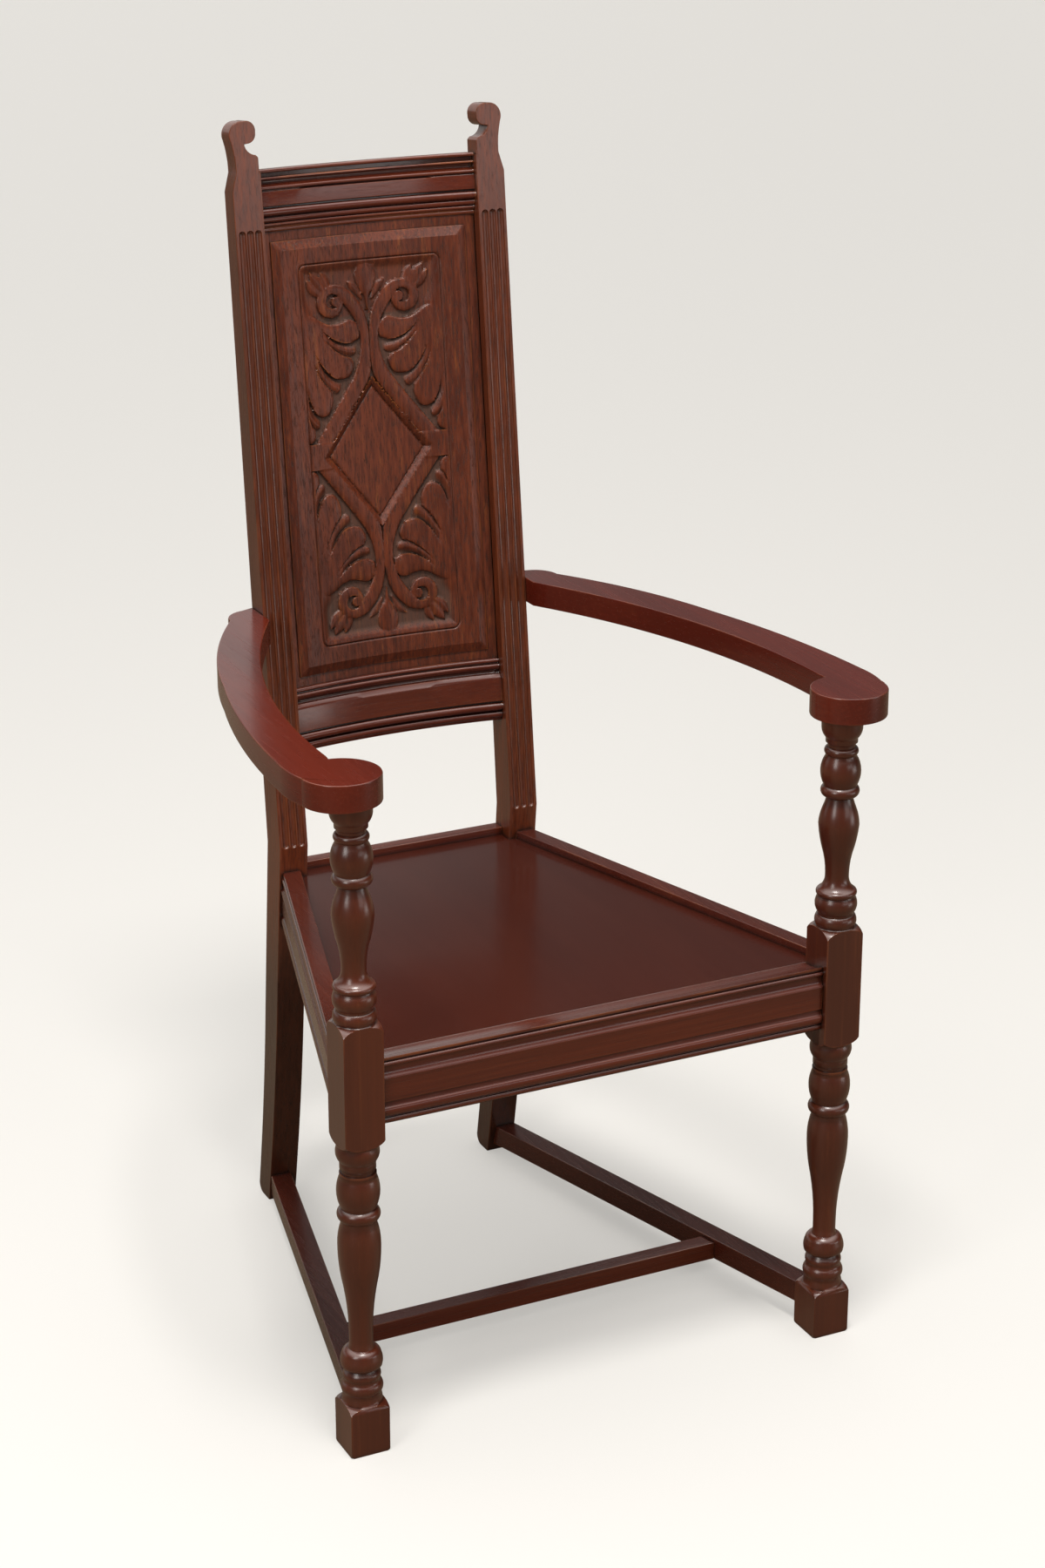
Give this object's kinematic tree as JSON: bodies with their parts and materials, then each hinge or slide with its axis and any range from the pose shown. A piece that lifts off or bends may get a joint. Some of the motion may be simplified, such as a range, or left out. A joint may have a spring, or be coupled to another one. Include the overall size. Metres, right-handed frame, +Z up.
{
  "type": "wainscot chair",
  "caption": "High-backed wooden armchair with a carved panel back, scroll finials, bowed arms on turned posts, a board seat and low stretchers.",
  "frame": {"origin": "on the floor, under the middle of the chair's outer box", "axes": "+Z up, the chair faces -Y, +X to its left hand, which is the viewer's right"},
  "size_m": [0.6428, 0.6228, 1.2392],
  "materials": {
    "frame_oak": "dark red-brown stained oak, satin, worn lighter on the edges",
    "panel_oak": "stained oak with open vertical grain, satin",
    "turned_oak": "dark red-brown stain, semi-gloss",
    "arm_oak": "red-brown stain, semi-gloss",
    "seat_oak": "dark brown-red stain, glossy satin",
    "plain_wood": "bare, unfinished",
    "screw_steel": "dull"
  },
  "bodies": {
    "root": {"stile_left": "frame_oak", "stile_right": "frame_oak", "crest_rail": "frame_oak", "lower_back_rail": "frame_oak", "back_panel": "panel_oak", "seat_rail_front": "frame_oak", "seat_rail_rear": "frame_oak", "seat_rail_left": "frame_oak", "seat_rail_right": "frame_oak", "seat_board": "seat_oak", "front_post_left": "turned_oak", "front_post_right": "turned_oak", "arm_left": "arm_oak", "arm_right": "arm_oak", "side_stretcher_left": "frame_oak", "side_stretcher_right": "frame_oak", "cross_stretcher": "frame_oak", "seat_cleat_front": "plain_wood", "seat_cleat_rear": "plain_wood", "seat_cleat_left": "plain_wood", "seat_cleat_right": "plain_wood", "cleat_screws": "screw_steel"}
  },
  "joints": []
}
